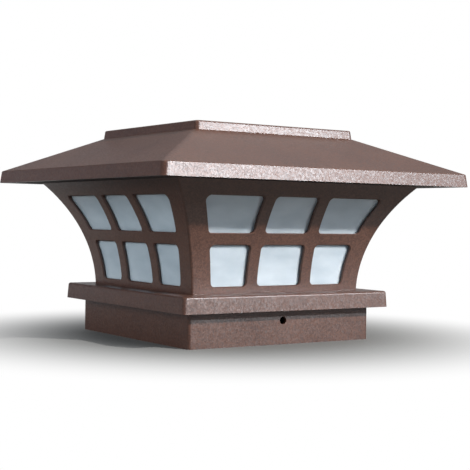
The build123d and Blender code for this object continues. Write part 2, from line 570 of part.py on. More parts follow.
# Circuit board on the tray's standoffs
with BuildPart() as circuit_board:
    with BuildSketch(Plane.XY.offset(BOARD_Z)):
        with Locations((0, -BOARD_OFFSET)):
            Rectangle(BOARD_LENGTH, BOARD_WIDTH)
            with GridLocations(2 * BOARD_SCREW_X, 2 * BOARD_SCREW_Y, 2, 2):
                Circle(BOARD_SCREW_DIAMETER / 2 + HOLE_CLEARANCE, mode=Mode.SUBTRACT)
    extrude(amount=BOARD_THICKNESS)
circuit_board.part.label = "circuit_board"
export_step(circuit_board.part, "parts/circuit_board.step")

# Board components: controller chip, inductor, capacitor and the plugs for panel and battery
with BuildPart() as board_components:
    with BuildSketch(Plane.XY.offset(BOARD_TOP_Z)):
        with Locations((0, -BOARD_OFFSET)):
            Rectangle(CHIP_SIZE[0], CHIP_SIZE[1])
    extrude(amount=CHIP_SIZE[2])
    with BuildSketch(Plane.XY.offset(BOARD_TOP_Z)):
        with Locations((CHIP_SIZE[0] / 2 + INDUCTOR_SIZE[0], -BOARD_OFFSET)):
            Circle(INDUCTOR_SIZE[0] / 2)
    extrude(amount=INDUCTOR_SIZE[1])
    with BuildSketch(Plane.XY.offset(BOARD_TOP_Z)):
        with Locations((-CHIP_SIZE[0] / 2 - CAPACITOR_SIZE[0], -BOARD_OFFSET)):
            Circle(CAPACITOR_SIZE[0] / 2)
    extrude(amount=CAPACITOR_SIZE[1])
    with BuildSketch(Plane.XY.offset(BOARD_TOP_Z)):
        with Locations((0, PANEL_PLUG_Y), (BATTERY_PLUG_X, BATTERY_PLUG_Y)):
            Rectangle(PLUG_SIZE[0], PLUG_SIZE[1])
    extrude(amount=PLUG_SIZE[2])
board_components.part.label = "board_components"
export_step(board_components.part, "parts/board_components.step")

# Board screws: down through the board into the standoffs
with BuildPart() as board_screws:
    with BuildSketch(Plane.XY.offset(BOARD_TOP_Z)):
        with Locations((0, -BOARD_OFFSET)):
            with GridLocations(2 * BOARD_SCREW_X, 2 * BOARD_SCREW_Y, 2, 2):
                Circle(BOARD_SCREW_HEAD / 2)
    extrude(amount=BOARD_SCREW_HEAD_HEIGHT)
    with BuildSketch(Plane.XY.offset(BOARD_TOP_Z)):
        with Locations((0, -BOARD_OFFSET)):
            with GridLocations(2 * BOARD_SCREW_X, 2 * BOARD_SCREW_Y, 2, 2):
                Circle(BOARD_SCREW_DIAMETER / 2)
    extrude(amount=-BOARD_SCREW_LENGTH)
board_screws.part.label = "board_screws"
export_step(board_screws.part, "parts/board_screws.step")

# Lamp: light-emitting chips under the board, over a clear lens set in the tray's window
with BuildPart() as led_chips:
    with BuildSketch(Plane.XY.offset(BOARD_Z)):
        with Locations((0, -BOARD_OFFSET)):
            with GridLocations(LED_SPACING, LED_SPACING, LED_COLUMNS, LED_ROWS):
                Rectangle(LED_LENGTH, LED_WIDTH)
    extrude(amount=-LED_HEIGHT)
led_chips.part.label = "led_chips"
export_step(led_chips.part, "parts/led_chips.step")

with BuildPart() as led_lens:
    with BuildSketch(Plane.XY.offset(TRAY_Z)):
        with Locations((0, -BOARD_OFFSET)):
            RectangleRounded(
                LENS_WINDOW_LENGTH - 2 * FIT_GAP,
                LENS_WINDOW_WIDTH - 2 * FIT_GAP,
                LENS_WINDOW_CORNER - FIT_GAP,
            )
    extrude(amount=TRAY_THICKNESS)
    with BuildSketch(Plane.XY.offset(TRAY_Z)):
        with Locations((0, -BOARD_OFFSET)):
            RectangleRounded(
                LENS_WINDOW_LENGTH + 2 * LENS_FLANGE_WIDTH,
                LENS_WINDOW_WIDTH + 2 * LENS_FLANGE_WIDTH,
                LENS_WINDOW_CORNER + LENS_FLANGE_WIDTH,
            )
    extrude(amount=-LENS_FLANGE_THICKNESS)
    fillet(led_lens.faces().sort_by(Axis.Z)[0].edges(), LENS_FLANGE_THICKNESS / 2)
led_lens.part.label = "led_lens"
export_step(led_lens.part, "parts/led_lens.step")

# Slide switch between tray and board, stored in its off position
with BuildPart() as switch_body:
    with BuildSketch(Plane.XY.offset(TRAY_TOP_Z)):
        with Locations((SWITCH_OFFSET, -BOARD_OFFSET)):
            Rectangle(SWITCH_LENGTH, SWITCH_WIDTH)
    extrude(amount=STANDOFF_HEIGHT)
    with BuildSketch(Plane.XY.offset(TRAY_TOP_Z)):
        with Locations((SWITCH_OFFSET, -BOARD_OFFSET)):
            Rectangle(SLIDER_HEAD_LENGTH + SLIDER_TRAVEL + 2 * FIT_GAP, SLIDER_HEAD_WIDTH + 2 * FIT_GAP)
    extrude(amount=SWITCH_CAVITY_DEPTH, mode=Mode.SUBTRACT)
switch_body.part.label = "switch_body"
export_step(switch_body.part, "parts/switch_body.step")

with BuildPart() as switch_slider:
    with BuildSketch(Plane.XY.offset(TRAY_TOP_Z + FIT_GAP)):
        with Locations((SLIDER_REST_X, -BOARD_OFFSET)):
            Rectangle(SLIDER_HEAD_LENGTH, SLIDER_HEAD_WIDTH)
    extrude(amount=SWITCH_CAVITY_DEPTH - 2 * FIT_GAP)
    with BuildSketch(Plane.XY.offset(TRAY_TOP_Z + FIT_GAP)):
        with Locations((SLIDER_REST_X, -BOARD_OFFSET)):
            Rectangle(SLIDER_STEM_LENGTH, SLIDER_STEM_WIDTH)
    extrude(amount=-FIT_GAP - TRAY_THICKNESS - SLIDER_REACH)
switch_slider.part.label = "switch_slider"
export_step(switch_slider.part, "parts/switch_slider.step")

# Battery cell, lying along X in the bay
with BuildPart() as battery_cell:
    with BuildSketch(Plane(origin=(0, BAY_OFFSET, BATTERY_Z), x_dir=(1, 0, 0), z_dir=(0, -1, 0))):
        with BuildLine():
            Polyline(
                (-BATTERY_LENGTH / 2, 0),
                (-BATTERY_LENGTH / 2, BATTERY_DIAMETER / 2),
                (BATTERY_LENGTH / 2 - BATTERY_NUB_LENGTH, BATTERY_DIAMETER / 2),
                (BATTERY_LENGTH / 2 - BATTERY_NUB_LENGTH, BATTERY_NUB_DIAMETER / 2),
                (BATTERY_LENGTH / 2, BATTERY_NUB_DIAMETER / 2),
                (BATTERY_LENGTH / 2, 0),
                close=True,
            )
        make_face()
    revolve(axis=Axis((0, BAY_OFFSET, BATTERY_Z), (1, 0, 0)))
battery_cell.part.label = "battery_cell"
export_step(battery_cell.part, "parts/battery_cell.step")

# Battery contacts: folded spring leaves with solder tabs through the bay's ceiling
with BuildPart() as battery_contacts:
    with BuildSketch(Plane.XZ.offset(-BAY_OFFSET)):
        with BuildLine():
            Polyline(
                (CONTACT_X, BAY_TOP_Z + CONTACT_TAB),
                (CONTACT_X, BATTERY_Z - BATTERY_DIAMETER / 3),
                (BATTERY_LENGTH / 2 + CONTACT_THICKNESS, BATTERY_Z),
                (BATTERY_LENGTH / 2 + CONTACT_ROOM / 2, BATTERY_Z + BATTERY_DIAMETER / 4),
            )
        trace(line_width=CONTACT_THICKNESS)
    extrude(amount=CONTACT_WIDTH / 2, both=True)
    mirror(about=Plane.YZ)
battery_contacts.part.label = "battery_contacts"
export_step(battery_contacts.part, "parts/battery_contacts.step")

# Seal round the bay's mouth, bonded to the tray
with BuildPart() as bay_seal:
    with BuildSketch(Plane.XY.offset(TRAY_Z)):
        with Locations((0, BAY_OFFSET)):
            Rectangle(BAY_LENGTH + 2 * SEAL_WIDTH, BAY_WIDTH + 2 * SEAL_WIDTH)
            Rectangle(BAY_LENGTH, BAY_WIDTH, mode=Mode.SUBTRACT)
    extrude(amount=-SEAL_THICKNESS)
bay_seal.part.label = "bay_seal"
export_step(bay_seal.part, "parts/bay_seal.step")

# Battery door: plate with a finger lip and two knuckles on the hinge pin
with BuildPart() as battery_door:
    with BuildSketch(Plane.XY.offset(DOOR_TOP_Z)):
        with Locations((0, BAY_OFFSET)):
            RectangleRounded(DOOR_LENGTH, DOOR_WIDTH, INNER_CORNER)
        with Locations((0, BAY_OFFSET - DOOR_WIDTH / 2)):
            Rectangle(DOOR_LIP_LENGTH, 2 * DOOR_LIP_WIDTH)
        for knuckle_x in (-LUG_SPACING / 2, LUG_SPACING / 2):
            with Locations((knuckle_x, HINGE_Y)):
                Rectangle(
                    LUG_SPACING - LUG_WIDTH - 2 * FIT_GAP,
                    KNUCKLE_DIAMETER,
                    align=(Align.CENTER, Align.MAX),
                )
    extrude(amount=-DOOR_THICKNESS)
    for knuckle_x in (-LUG_SPACING / 2, LUG_SPACING / 2):
        with BuildSketch(Plane.YZ.offset(knuckle_x)):
            with Locations((HINGE_Y, HINGE_Z)):
                Circle(KNUCKLE_DIAMETER / 2)
        extrude(amount=(LUG_SPACING - LUG_WIDTH) / 2 - FIT_GAP, both=True)
    with BuildSketch(Plane.YZ):
        with Locations((HINGE_Y, HINGE_Z)):
            Circle(HINGE_PIN_DIAMETER / 2 + PIN_CLEARANCE)
    extrude(amount=DOOR_LENGTH, both=True, mode=Mode.SUBTRACT)
battery_door.part.label = "battery_door"
export_step(battery_door.part, "parts/battery_door.step")

with BuildPart() as door_hinge_pin:
    with BuildSketch(Plane.YZ):
        with Locations((HINGE_Y, HINGE_Z)):
            Circle(HINGE_PIN_DIAMETER / 2)
    extrude(amount=LUG_SPACING + LUG_WIDTH / 2, both=True)
door_hinge_pin.part.label = "door_hinge_pin"
export_step(door_hinge_pin.part, "parts/door_hinge_pin.step")

# Panel leads: from the backboard through the roof to their plug on the board
with BuildPart() as panel_leads:
    for lead_x in (-WIRE_SPACING / 2, WIRE_SPACING / 2):
        bend_z = (CEILING_Z + PLUG_TOP_Z) / 2
        wire(
            (lead_x, PANEL_PLUG_Y - WIRE_STEP, PANEL_SEAT_Z),
            (lead_x, PANEL_PLUG_Y - WIRE_STEP, bend_z),
            (lead_x, PANEL_PLUG_Y, bend_z),
            (lead_x, PANEL_PLUG_Y, PLUG_TOP_Z),
        )
panel_leads.part.label = "panel_leads"
export_step(panel_leads.part, "parts/panel_leads.step")

# Battery leads: from the contacts' solder tabs to their plug on the board
with BuildPart() as battery_leads:
    lead_z = BAY_TOP_Z + CONTACT_TAB / 2
    tab_y = BAY_OFFSET - CONTACT_WIDTH / 2
    cross_y = (tab_y + BATTERY_PLUG_Y) / 2
    wire(
        (-CONTACT_X, tab_y, lead_z),
        (-CONTACT_X, BATTERY_PLUG_Y, lead_z),
        (-CONTACT_X, BATTERY_PLUG_Y, PLUG_TOP_Z),
    )
    wire(
        (CONTACT_X, tab_y, lead_z),
        (CONTACT_X, cross_y, lead_z),
        (WIRE_SPACING - CONTACT_X, cross_y, lead_z),
        (WIRE_SPACING - CONTACT_X, BATTERY_PLUG_Y, lead_z),
        (WIRE_SPACING - CONTACT_X, BATTERY_PLUG_Y, PLUG_TOP_Z),
    )
battery_leads.part.label = "battery_leads"
export_step(battery_leads.part, "parts/battery_leads.step")
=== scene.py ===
"""Finishes and fine detail for a solar post light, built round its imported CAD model."""

import random
from functools import cache
from math import cos, pi, sin

import bmesh
import bpy
from bpy.props import FloatProperty, FloatVectorProperty, IntProperty, PointerProperty
from mathutils import Matrix, Vector


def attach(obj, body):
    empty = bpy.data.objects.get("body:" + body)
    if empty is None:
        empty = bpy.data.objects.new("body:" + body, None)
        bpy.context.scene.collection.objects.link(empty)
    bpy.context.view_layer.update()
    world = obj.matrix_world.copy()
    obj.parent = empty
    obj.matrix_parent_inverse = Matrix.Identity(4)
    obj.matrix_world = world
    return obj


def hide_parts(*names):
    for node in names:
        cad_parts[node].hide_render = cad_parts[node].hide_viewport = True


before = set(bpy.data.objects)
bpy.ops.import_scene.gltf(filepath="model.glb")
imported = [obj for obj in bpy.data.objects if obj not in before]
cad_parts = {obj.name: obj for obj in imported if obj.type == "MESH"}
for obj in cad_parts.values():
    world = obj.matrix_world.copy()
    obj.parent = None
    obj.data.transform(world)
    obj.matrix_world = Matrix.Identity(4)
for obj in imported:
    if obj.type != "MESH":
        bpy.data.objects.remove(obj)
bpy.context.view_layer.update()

bl_info = {
    "name": "Solar Post Light",
    "version": (1, 0, 0),
    "blender": (4, 5, 0),
    "location": "View3D > Sidebar > Post Light",
    "description": "Finishes and fine detail for a solar post light",
    "category": "Object",
}

MM = 0.001

# Places in a Mix node's lists of sockets, when it mixes numbers and when it mixes colours
NUMBER_A = 2
NUMBER_B = 3
COLOUR_A = 6
COLOUR_B = 7
COLOUR_RESULT = 2

# Places and sizes that the detail shares with the CAD model
CELL_COLUMNS = 2
CELL_ROWS = 6
CELL_GAP = 1.2 * MM
CELL_FIELD = 100.8 * MM
CELL_TOP_Z = 129.2 * MM
LAMP_Y = -10.0 * MM
LED_SPACING = 9.0 * MM
BATTERY_Y = 31.0 * MM
BATTERY_Z = 107.95 * MM
BARE_END_RADIUS = 5.9 * MM
LIP_BOTTOM_Z = 97.5 * MM
LIP_FRONT_Y = 16.45 * MM
# Places along X between the black lead and the red one
PANEL_LEADS_X = 0.0
BATTERY_LEADS_X = -27.8 * MM
SCREWS = {
    # Node: body, offset from the axes, height of the head's face, head, shank, length and pitch
    "base_screws": ("lantern", 51.905 * MM, 26.0 * MM, 7.0 * MM, 3.5 * MM, 15.0 * MM, 1.3 * MM),
    "roof_screws": ("roof", 68.428 * MM, 97.4 * MM, 6.4 * MM, 3.0 * MM, 13.0 * MM, 1.2 * MM),
}

# Sizes of the detail itself
RIBBON_THICKNESS = 0.06 * MM
RIBBON_FLAT = 0.8
RIBBON_LIFT = 0.01 * MM
RIBBON_MARGIN = 1.5 * MM
RIDGE_POINTS = 9
RIDGE_HALF_WIDTH = 0.35 * MM
RIDGE_PITCH = 0.95 * MM
RIDGE_REACH = 6.5 * MM
SCREW_SIDES = 20
SCREW_RIM = 0.15 * MM
SCREW_POINT = 0.15
STEPS_PER_TURN = 6
RECESS_TAPER = 0.6
SCREW_SEED = 7

# Optical values of the clear materials
ACRYLIC_IOR = 1.49
GLASS_IOR = 1.52

# Studio round the post light
AIM = (0, 0, 60 * MM)
FLOOR_REACH = 60.0
# Distances from the middle over which the floor turns white, for the camera and for what mirrors it
FADE_IN_VIEW = (75 * MM, 230 * MM)
FADE_IN_MIRRORS = (200 * MM, 500 * MM)
# Distances over which the white floor takes the brightness of the wall that it runs into
FLOOR_TO_WALL = (0.6, 2.0)
# Cosines of the angle from the view between which the room turns into the white sweep
SWEEP_EDGE = (0.50, 0.84)
# Heights on a unit sphere between which the upper wall starts, and the ceiling
UPPER_WALL_EDGE = (0.22, 0.28)
CEILING_EDGE = (0.46, 0.64)
# Glints have a low lamp of their own, so that the roof's far slopes don't turn white from behind
SOFT_BOXES = {
    # Name: direction from the post light, distance in metres, tint, and whether it gives only glints
    "key": ((0.365, -0.785, 0.505), 2.5, (1.0, 0.98, 0.96), False),
    "side": ((-0.95, 0.10, 0.30), 2.0, (0.86, 0.95, 1.0), False),
    "edge": ((0.61, -0.76, 0.29), 2.5, (0.88, 0.95, 1.0), False),
    "glint": ((0.47, -0.81, 0.35), 2.5, (0.90, 0.95, 1.0), True),
}


def linear(hex_code):
    """Linear red, green and blue of an sRGB hex colour."""
    channels = [int(hex_code[i : i + 2], 16) / 255 for i in (1, 3, 5)]
    return tuple(c / 12.92 if c <= 0.04045 else ((c + 0.055) / 1.055) ** 2.4 for c in channels)


def colour(name, description, hex_code):
    """Colour property whose default is an sRGB hex colour."""
    return FloatVectorProperty(
        name=name,
        description=description,
        subtype="COLOR",
        size=3,
        min=0,
        max=1,
        default=linear(hex_code),
    )


def length(name, description, millimetres):
    """Length property, shown in the scene's units."""
    return FloatProperty(
        name=name, description=description, unit="LENGTH", default=millimetres * MM, precision=5
    )


def share(name, description, default):
    """Property between nothing and all."""
    return FloatProperty(
        name=name, description=description, subtype="FACTOR", min=0, max=1, default=default
    )


def count(name, description, default):
    """Number of like pieces."""
    return IntProperty(name=name, description=description, default=default, min=1, max=4)


def angle(name, description, radians):
    """Angle property."""
    return FloatProperty(name=name, description=description, subtype="ANGLE", default=radians)


def power(name, description, watts):
    """Power of a lamp."""
    return FloatProperty(name=name, description=description, subtype="POWER", default=watts)


def brightness(name, description, default):
    """Brightness of a part of the studio, where one is white."""
    return FloatProperty(name=name, description=description, default=default, min=0)


class CoatSettings(bpy.types.PropertyGroup):
    """Bronze coat on the sleeve, plinth, frame and roof"""

    resin_dark: colour("Dark resin", "Brown of the coat where it lies thick", "#321C15")
    resin_light: colour("Light resin", "Brown of the coat where it lies thin", "#604134")
    metal_share: share("Metal share", "Share of the surface that the flakes cover", 0.14)
    lustre: share("Lustre", "How strongly the coat's face mirrors", 0.95)
    flake_size: length("Flake size", "Width of a flake as it is drawn", 0.85)
    flake_tilt: share("Flake tilt", "How far the flakes lie at odds with the surface", 0.05)
    peel_size: length("Peel size", "Width of the coat's fine waves", 1.1)
    roughness: share("Roughness", "Roughness of the coat", 0.42)


class PaneSettings(bpy.types.PropertyGroup):
    """Frosted panes behind the lantern's windows"""

    body: colour("Body", "Thinner streaks of the sheet", "#B1BDC6")
    cloud: colour("Cloud", "Denser streaks of the sheet", "#C4CED6")
    see_through: share("See-through", "Share of the light that passes", 0.12)
    frosting: share("Frosting", "How far the sheet scatters what passes", 0.55)
    gloss_roughness: share("Gloss roughness", "Roughness of the polished face", 0.07)


class PanelSettings(bpy.types.PropertyGroup):
    """Solar panel on the roof"""

    silicon: colour("Silicon", "Wafer", "#0B1222")
    silicon_tint: colour("Silicon tint", "Bluer wafers", "#14213F")
    finger_spacing: length("Finger spacing", "Between the printed silver lines", 2.0)
    finger_width: length("Finger width", "Printed silver line as it is drawn", 0.16)
    ribbon_width: length("Ribbon width", "Tinned ribbon along each row of cells", 1.3)
    ribbons_per_row: count("Ribbons per row", "Ribbons over each row", 2)


class HardwareSettings(bpy.types.PropertyGroup):
    """Screws, battery door and lamp"""

    recess_width: length("Recess width", "Across the arms of the screws' cross recess", 3.8)
    recess_arm: length("Recess arm", "Width of an arm of the cross recess", 0.9)
    recess_depth: length("Recess depth", "Depth of the cross recess", 1.3)
    thread_depth: length("Thread depth", "Height of the screws' thread over the core", 0.4)
    ridge_count: count("Ridges", "Grip ridges under the door's lip", 3)
    ridge_height: length("Ridge height", "Height of a grip ridge", 0.3)
    phosphor_radius: length("Phosphor radius", "Yellow disc in each lamp chip", 1.1)


class StageSettings(bpy.types.PropertyGroup):
    """Camera, light and floor"""

    camera_location: FloatVectorProperty(
        name="Camera",
        description="Where the camera stands",
        subtype="TRANSLATION",
        default=(-0.4012, -0.6112, 0.0751),
    )
    camera_yaw: angle("Yaw", "Turn to the right of +Y", 0.5911)
    camera_pitch: angle("Pitch", "Tilt above the horizon", -0.0140)
    camera_roll: angle("Roll", "Turn about the view", -0.0153)
    camera_lens: FloatProperty(
        name="Lens", description="Focal length on a 36 mm sensor", unit="CAMERA", default=85.59
    )
    key_power: power("Key power", "Power of the main soft box", 118.0)
    key_size: length("Key size", "Width of the main soft box", 90.0)
    side_power: power("Side power", "Power of the left soft box", 30.0)
    side_size: length("Side size", "Width of the left soft box", 900.0)
    edge_power: power("Edge power", "Power of the low soft box on the right", 22.0)
    edge_size: length("Edge size", "Width of the low soft box on the right", 600.0)
    glint_power: power("Glint power", "Power of the small lamp that gives only glints", 71.0)
    glint_size: length("Glint size", "Width of the small lamp that gives only glints", 90.0)
    fill: brightness("Fill", "Even light from all round", 0.09)
    room: brightness("Room", "Walls beside the white backdrop", 0.27)
    upper_wall: brightness("Upper wall", "Unlit walls over the backdrop", 0.05)
    ceiling: brightness("Ceiling", "Pale ceiling", 1.0)
    fill_tint: colour("Fill tint", "Cool tint of the even light", "#B8CAF0")
    floor: colour("Floor", "Floor under the light", "#6E6E6C")


class PostLightSettings(bpy.types.PropertyGroup):
    """All settings of the post light"""

    coat: PointerProperty(type=CoatSettings)
    panes: PointerProperty(type=PaneSettings)
    panel: PointerProperty(type=PanelSettings)
    hardware: PointerProperty(type=HardwareSettings)
    stage: PointerProperty(type=StageSettings)


def feed(tree, node, inputs):
    """Give a node's inputs their values, or the sockets that drive them."""
    for key, value in inputs.items():
        if isinstance(value, bpy.types.NodeSocket):
            tree.links.new(value, node.inputs[key])
        else:
            node.inputs[key].default_value = value


def add_node(tree, kind, inputs, **settings):
    """Add a node with its settings, and feed its inputs."""
    node = tree.nodes.new(kind)
    for name, value in settings.items():
        setattr(node, name, value)
    feed(tree, node, inputs)
    return node


def start_material(name):
    """New material, its node tree, its shader and the object's own coordinates in metres."""
    material = bpy.data.materials.new(name)
    material.use_nodes = True
    tree = material.node_tree
    shader = tree.nodes["Principled BSDF"]
    coords = add_node(tree, "ShaderNodeTexCoord", {}).outputs["Object"]
    return material, tree, shader, coords


def bronze_coat(coat):
    """Bronze metallic coat: brown resin full of aluminium flakes, sprayed on moulded ABS and baked."""
    # Smooth brown in flat light, pale and speckled where the flakes mirror the lamp. Real flakes are
    # about 0.05 mm, too fine to show, so they are drawn at the width that the settings give.
    cloud_size = 35 * MM
    speckle_share = 0.55
    metal_spread = 0.4
    roughness_spread = 0.05
    material, tree, shader, coords = start_material("bronze_metallic_coat")
    clouds = add_node(
        tree, "ShaderNodeTexNoise", {"Vector": coords, "Scale": 1 / cloud_size, "Detail": 4.0}
    ).outputs[0]
    flakes = add_node(
        tree, "ShaderNodeTexVoronoi", {"Vector": coords, "Scale": 1 / coat.flake_size}
    ).outputs["Color"]
    chance = add_node(tree, "ShaderNodeSeparateColor", {0: flakes}).outputs[0]
    thinness = add_node(
        tree, "ShaderNodeMix", {0: speckle_share, NUMBER_A: clouds, NUMBER_B: chance}
    ).outputs[0]
    resin = add_node(
        tree,
        "ShaderNodeMix",
        {0: thinness, COLOUR_A: (*coat.resin_dark, 1), COLOUR_B: (*coat.resin_light, 1)},
        data_type="RGBA",
    ).outputs[COLOUR_RESULT]
    metal = add_node(
        tree,
        "ShaderNodeMapRange",
        {
            "Value": chance,
            "To Min": (1 - metal_spread) * coat.metal_share,
            "To Max": (1 + metal_spread) * coat.metal_share,
        },
    ).outputs[0]
    peel = add_node(
        tree, "ShaderNodeTexNoise", {"Vector": coords, "Scale": 1 / coat.peel_size, "Detail": 2.0}
    ).outputs[0]
    waves = add_node(
        tree, "ShaderNodeBump", {"Height": peel, "Strength": 0.06, "Distance": 0.15 * MM}
    ).outputs[0]
    tilt = add_node(
        tree,
        "ShaderNodeVectorMath",
        {0: flakes, 1: (2 * coat.flake_tilt,) * 3, 2: (-coat.flake_tilt,) * 3},
        operation="MULTIPLY_ADD",
    ).outputs[0]
    bent = add_node(tree, "ShaderNodeVectorMath", {0: waves, 1: tilt}, operation="ADD").outputs[0]
    facing = add_node(tree, "ShaderNodeVectorMath", {0: bent}, operation="NORMALIZE").outputs[0]
    roughness = add_node(
        tree,
        "ShaderNodeMapRange",
        {
            "Value": clouds,
            "To Min": coat.roughness - roughness_spread,
            "To Max": coat.roughness + roughness_spread,
        },
    ).outputs[0]
    feed(
        tree,
        shader,
        {
            "Base Color": resin,
            "Metallic": metal,
            "Roughness": roughness,
            "Specular IOR Level": coat.lustre,
            "Normal": facing,
        },
    )
    return material


def frosted_acrylic(panes):
    """Frosted acrylic: opal sheet, hot-formed to the flare, polished outside and etched inside."""
    # Soft shapes show through it, and the polished face mirrors the window's edges. The forming draws
    # the sheet's cloudiness out into faint level streaks.
    streak_size = 22 * MM
    streak_stretch = 2.2
    etch_size = 0.9 * MM
    frosting_spread = 0.08
    material, tree, shader, coords = start_material("frosted_acrylic")
    drawn = add_node(
        tree, "ShaderNodeVectorMath", {0: coords, 1: (1, 1, streak_stretch)}, operation="MULTIPLY"
    ).outputs[0]
    clouds = add_node(
        tree, "ShaderNodeTexNoise", {"Vector": drawn, "Scale": 1 / streak_size, "Detail": 3.0}
    ).outputs[0]
    streaks = add_node(
        tree, "ShaderNodeMapRange", {"Value": clouds, "From Min": 0.3, "From Max": 0.7}
    ).outputs[0]
    tone = add_node(
        tree,
        "ShaderNodeMix",
        {0: streaks, COLOUR_A: (*panes.body, 1), COLOUR_B: (*panes.cloud, 1)},
        data_type="RGBA",
    ).outputs[COLOUR_RESULT]
    grain = add_node(
        tree, "ShaderNodeTexNoise", {"Vector": coords, "Scale": 1 / etch_size, "Detail": 1.0}
    ).outputs[0]
    etch = add_node(
        tree, "ShaderNodeBump", {"Height": grain, "Strength": 0.2, "Distance": 0.05 * MM}
    ).outputs[0]
    roughness = add_node(
        tree,
        "ShaderNodeMapRange",
        {
            "Value": clouds,
            "To Min": panes.frosting - frosting_spread,
            "To Max": panes.frosting + frosting_spread,
        },
    ).outputs[0]
    feed(
        tree,
        shader,
        {
            "Base Color": tone,
            "Roughness": roughness,
            "Normal": etch,
            "IOR": ACRYLIC_IOR,
            "Transmission Weight": panes.see_through,
            "Subsurface Weight": 1.0,
            "Subsurface Radius": (1.0, 1.0, 1.0),
            "Subsurface Scale": 4 * MM,
            "Coat Weight": 1.0,
            "Coat Roughness": panes.gloss_roughness,
            "Coat IOR": ACRYLIC_IOR,
        },
    )
    return material


def grained(name, dark, light, cloud_mm, grain_mm, depth_mm, roughness, **sockets):
    """Material with cloudy colour and a fine grain, as moulded, rolled or plated surfaces have."""
    roughness_spread = 0.07
    material, tree, shader, coords = start_material(name)
    clouds = add_node(
        tree, "ShaderNodeTexNoise", {"Vector": coords, "Scale": 1 / (cloud_mm * MM), "Detail": 4.0}
    ).outputs[0]
    tone = add_node(
        tree,
        "ShaderNodeMix",
        {0: clouds, COLOUR_A: (*linear(dark), 1), COLOUR_B: (*linear(light), 1)},
        data_type="RGBA",
    ).outputs[COLOUR_RESULT]
    grain = add_node(
        tree, "ShaderNodeTexNoise", {"Vector": coords, "Scale": 1 / (grain_mm * MM), "Detail": 2.0}
    ).outputs[0]
    bump = add_node(
        tree, "ShaderNodeBump", {"Height": grain, "Strength": 0.5, "Distance": depth_mm * MM}
    ).outputs[0]
    spread = add_node(
        tree,
        "ShaderNodeMapRange",
        {
            "Value": clouds,
            "To Min": roughness - roughness_spread,
            "To Max": roughness + roughness_spread,
        },
    ).outputs[0]
    feed(tree, shader, {"Base Color": tone, "Roughness": spread, "Normal": bump})
    feed(tree, shader, {key.replace("_", " "): value for key, value in sockets.items()})
    return material


def silicon_wafer(panel):
    """Solar cell: etched polycrystalline silicon, blue from its coating, with printed silver lines."""
    # Each wafer and each crystal has a slightly different blue. Real fingers are about 0.08 mm wide,
    # and they are drawn wider so that they show.
    crystal_size = 5 * MM
    wafer_weight = 0.5
    tint_scale = 0.66
    across_cells = CELL_COLUMNS / (CELL_FIELD + CELL_GAP)
    along_cells = CELL_ROWS / (CELL_FIELD + CELL_GAP)
    material, tree, shader, coords = start_material("polycrystalline_silicon")
    place = add_node(
        tree,
        "ShaderNodeVectorMath",
        {0: coords, 1: (across_cells, along_cells, 0)},
        operation="MULTIPLY",
    ).outputs[0]
    wafer = add_node(tree, "ShaderNodeVectorMath", {0: place}, operation="FLOOR").outputs[0]
    wafer_tint = add_node(tree, "ShaderNodeTexWhiteNoise", {"Vector": wafer}).outputs["Value"]
    crystals = add_node(
        tree, "ShaderNodeTexVoronoi", {"Vector": coords, "Scale": 1 / crystal_size}
    ).outputs["Color"]
    crystal_tint = add_node(tree, "ShaderNodeSeparateColor", {0: crystals}).outputs[0]
    tint = add_node(
        tree,
        "ShaderNodeMath",
        {0: wafer_tint, 1: wafer_weight, 2: crystal_tint},
        operation="MULTIPLY_ADD",
    ).outputs[0]
    tint = add_node(tree, "ShaderNodeMath", {0: tint, 1: tint_scale}, operation="MULTIPLY").outputs[0]
    blue = add_node(
        tree,
        "ShaderNodeMix",
        {0: tint, COLOUR_A: (*panel.silicon, 1), COLOUR_B: (*panel.silicon_tint, 1)},
        data_type="RGBA",
    ).outputs[COLOUR_RESULT]
    across = add_node(tree, "ShaderNodeSeparateXYZ", {0: coords}).outputs["X"]
    beat = add_node(
        tree, "ShaderNodeMath", {0: across, 1: panel.finger_spacing / 2}, operation="PINGPONG"
    ).outputs[0]
    finger = add_node(
        tree,
        "ShaderNodeMapRange",
        {"Value": beat, "From Min": panel.finger_width / 2, "From Max": 0, "To Max": 0.8},
    ).outputs[0]
    tone = add_node(
        tree,
        "ShaderNodeMix",
        {0: finger, COLOUR_A: blue, COLOUR_B: (*linear("#8E949C"), 1)},
        data_type="RGBA",
    ).outputs[COLOUR_RESULT]
    feed(
        tree,
        shader,
        {"Base Color": tone, "Metallic": finger, "Roughness": 0.28, "Coat Weight": 0.5},
    )
    return material


def wire_sleeve(name, edge):
    """Soft PVC wire sleeves, black on the low side of a place along X and red on the other."""
    # Extruded over the strands, so they are smooth and slightly waxy.
    wave_size = 2.5 * MM
    material, tree, shader, coords = start_material(name)
    across = add_node(tree, "ShaderNodeSeparateXYZ", {0: coords}).outputs["X"]
    side = add_node(
        tree, "ShaderNodeMath", {0: across, 1: edge}, operation="GREATER_THAN"
    ).outputs[0]
    tone = add_node(
        tree,
        "ShaderNodeMix",
        {0: side, COLOUR_A: (*linear("#1B1B1C"), 1), COLOUR_B: (*linear("#A32420"), 1)},
        data_type="RGBA",
    ).outputs[COLOUR_RESULT]
    waves = add_node(
        tree, "ShaderNodeTexNoise", {"Vector": coords, "Scale": 1 / wave_size}
    ).outputs[0]
    bump = add_node(
        tree, "ShaderNodeBump", {"Height": waves, "Strength": 0.3, "Distance": 0.08 * MM}
    ).outputs[0]
    feed(tree, shader, {"Base Color": tone, "Roughness": 0.42, "Normal": bump})
    return material


